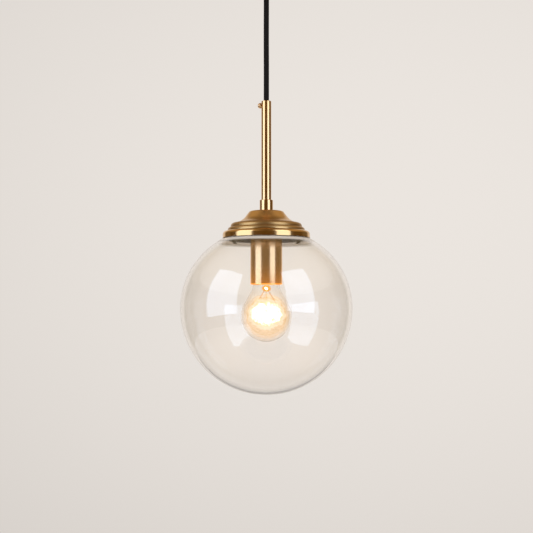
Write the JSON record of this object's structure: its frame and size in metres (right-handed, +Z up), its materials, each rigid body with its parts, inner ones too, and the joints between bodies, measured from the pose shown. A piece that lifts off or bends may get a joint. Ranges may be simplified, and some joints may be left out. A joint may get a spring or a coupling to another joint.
{
  "type": "pendant ceiling light",
  "caption": "Pendant light: clear glass globe under a stepped brass cap and thin brass stem, a clear bulb in a brass cup inside it, hung on a round textile cable from a ceiling canopy.",
  "frame": {"origin": "middle of the ceiling bracket's upper face, on the ceiling, above the cable", "axes": "+Z up along the cable and stem, +X to the viewer's right, along the bracket; the grip screws are on the -X side"},
  "size_m": [0.2, 0.2, 0.518],
  "materials": {
    "brushed_brass": "brushed, lacquered",
    "plain_brass": "turned, bare",
    "plated_steel": "zinc plated",
    "dark_steel": "blackened",
    "spring_steel": "plain, heat-darkened",
    "nylon": "matt",
    "block_plastic": "matt",
    "core_sleeve": "smooth insulation",
    "textile_cable": "woven sleeve",
    "clear_glass": "clear, polished",
    "bulb_glass": "clear, thin",
    "gasket_rubber": "matt",
    "holder_resin": "moulded",
    "bulb_cap_metal": "rolled thin sheet",
    "black_glass": "fused",
    "solder": "soft solder",
    "filament_wire": "drawn wire"
  },
  "bodies": {
    "ceiling": {"ceiling_bracket": "plated_steel", "cord_clamp": "nylon", "clamp_screws": "plated_steel", "terminal_block": "block_plastic", "terminal_screws": "plain_brass", "mains_cores": "core_sleeve", "cable": "textile_cable"},
    "canopy": {"canopy": "brushed_brass", "canopy_neck": "brushed_brass", "canopy_nut": "plain_brass"},
    "canopy_pad": {"canopy_grip_pad": "nylon"},
    "canopy_screw": {"canopy_grip_screw": "brushed_brass"},
    "swivel": {"cable_bush": "nylon"},
    "lamp": {"cable_tail": "textile_cable", "stem_tube": "brushed_brass", "stem_collar": "brushed_brass", "cap": "brushed_brass", "spacer_tube": "plain_brass", "clip_plate": "dark_steel", "spring_clip_1": "spring_steel", "spring_clip_2": "spring_steel", "spring_clip_3": "spring_steel", "clip_rivets": "dark_steel", "rim_gasket": "gasket_rubber", "holder_cup": "brushed_brass", "holder_washer": "plated_steel", "holder_nut": "plain_brass", "holder_cap": "holder_resin", "holder_disc": "holder_resin", "screw_shell": "plain_brass", "holder_sleeve": "holder_resin", "centre_contact": "plain_brass", "holder_terminals": "plain_brass", "holder_screws": "plain_brass", "lamp_cores": "core_sleeve"},
    "stem_pad": {"grip_pad": "nylon"},
    "stem_screw": {"grip_screw": "brushed_brass"},
    "globe": {"globe": "clear_glass"},
    "bulb_carrier": {"bulb_insulator": "black_glass", "bulb_contact": "solder"},
    "bulb": {"bulb_envelope": "bulb_glass", "bulb_cap": "bulb_cap_metal", "bulb_stem": "bulb_glass", "lead_wires": "filament_wire", "filament_supports": "filament_wire", "filament": "filament_wire"}
  },
  "joints": [
    {"name": "canopy_slide", "type": "slide", "parent": "ceiling", "child": "canopy", "axis": [0, 0, -1], "range_m": [0, 0.06]},
    {"name": "canopy_pad_travel", "type": "slide", "parent": "canopy", "child": "canopy_pad", "axis": [-1, 0, 0], "range_m": [0, 0.001]},
    {"name": "canopy_screw_turn", "type": "hinge", "parent": "canopy_pad", "child": "canopy_screw", "pos_m": [-0.0059, 0, -0.0468], "axis": [-1, 0, 0], "range_deg": [0, 720]},
    {"name": "lamp_swing_side", "type": "hinge", "parent": "ceiling", "child": "swivel", "pos_m": [0, 0, -0.1762], "axis": [0, 1, 0], "range_deg": [-15, 15]},
    {"name": "lamp_swing_front", "type": "hinge", "parent": "swivel", "child": "lamp", "pos_m": [0, 0, -0.1762], "axis": [1, 0, 0], "range_deg": [-15, 15]},
    {"name": "stem_pad_travel", "type": "slide", "parent": "lamp", "child": "stem_pad", "axis": [-1, 0, 0], "range_m": [0, 0.001]},
    {"name": "stem_screw_turn", "type": "hinge", "parent": "stem_pad", "child": "stem_screw", "pos_m": [-0.0059, 0, -0.1802], "axis": [-1, 0, 0], "range_deg": [0, 720]},
    {"name": "globe_drop", "type": "slide", "parent": "lamp", "child": "globe", "axis": [0, 0, -1], "range_m": [0, 0.16], "deforming": ["spring_clip_1", "spring_clip_2", "spring_clip_3"]},
    {"name": "bulb_travel", "type": "slide", "parent": "lamp", "child": "bulb_carrier", "axis": [0, 0, -1], "range_m": [0, 0.0255]},
    {"name": "bulb_turn", "type": "hinge", "parent": "bulb_carrier", "child": "bulb", "pos_m": [0, 0, -0.365], "axis": [0, 0, -1], "range_deg": [0, 2520]}
  ],
  "couplings": [
    {"joint": "canopy_screw_turn", "follows": "canopy_pad_travel", "rad_per_m": 12566},
    {"joint": "stem_screw_turn", "follows": "stem_pad_travel", "rad_per_m": 12566},
    {"joint": "bulb_travel", "follows": "bulb_turn", "m_per_rad": 0.00057757}
  ]
}
